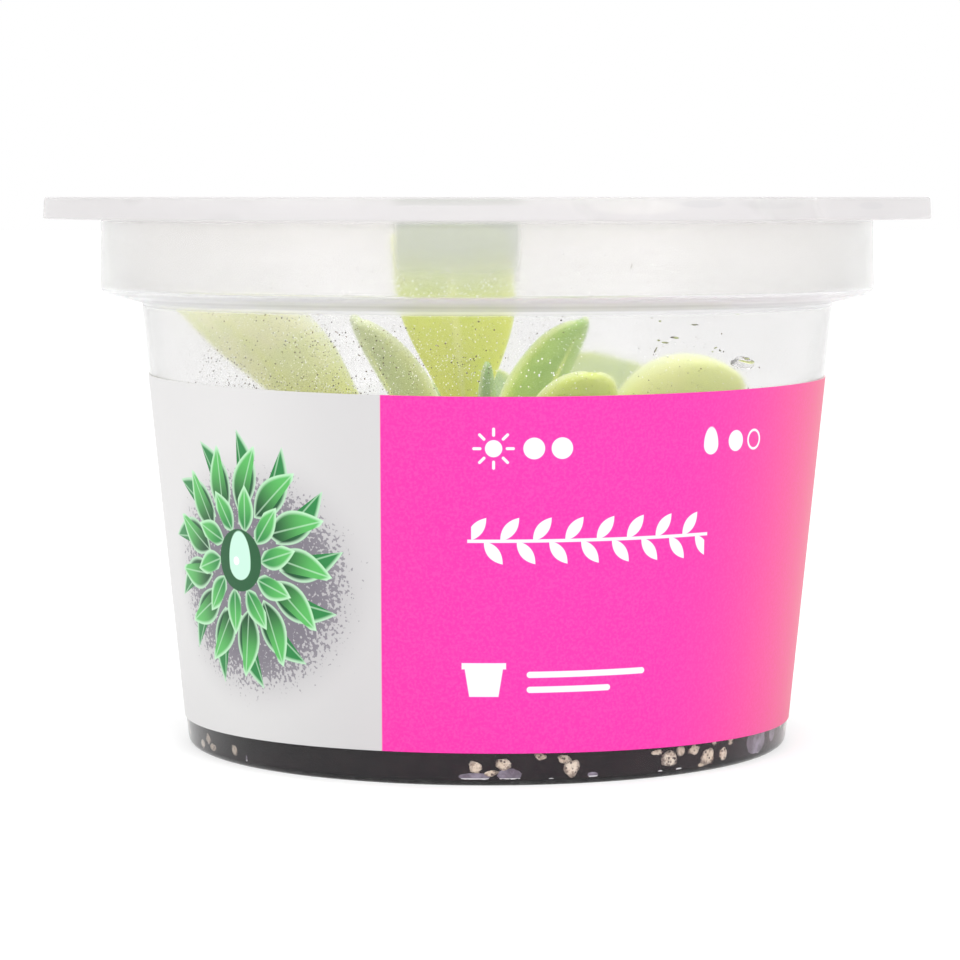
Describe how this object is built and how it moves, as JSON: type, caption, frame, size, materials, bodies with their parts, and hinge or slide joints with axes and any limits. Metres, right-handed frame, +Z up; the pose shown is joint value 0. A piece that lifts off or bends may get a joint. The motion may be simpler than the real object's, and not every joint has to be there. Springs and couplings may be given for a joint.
{
  "type": "potted butterwort",
  "caption": "Rosette of fleshy butterwort leaves growing in dark substrate in a clear round plastic cup with a press-on lid and a wrap-around label",
  "frame": {"origin": "on the resting plane, under the centre of the cup's base", "axes": "+Z up along the cup's axis; the label's front, as the picture shows it, faces -Y; +X is to the right in the picture"},
  "size_m": [0.1, 0.1, 0.0618],
  "materials": {
    "cup_plastic": "gloss",
    "lid_plastic": "gloss",
    "label_paper": "satin",
    "substrate": "matte",
    "crown": "satin",
    "leaf": "satin"
  },
  "bodies": {
    "root": {"cup": "cup_plastic", "lid": "lid_plastic", "label": "label_paper", "substrate": "substrate", "crown": "crown", "leaf_01": "leaf", "leaf_02": "leaf", "leaf_03": "leaf", "leaf_04": "leaf", "leaf_05": "leaf", "leaf_06": "leaf", "leaf_07": "leaf", "leaf_08": "leaf", "leaf_09": "leaf", "leaf_10": "leaf", "leaf_11": "leaf", "leaf_12": "leaf", "leaf_13": "leaf", "leaf_14": "leaf", "leaf_15": "leaf", "leaf_16": "leaf", "leaf_17": "leaf"}
  },
  "joints": []
}
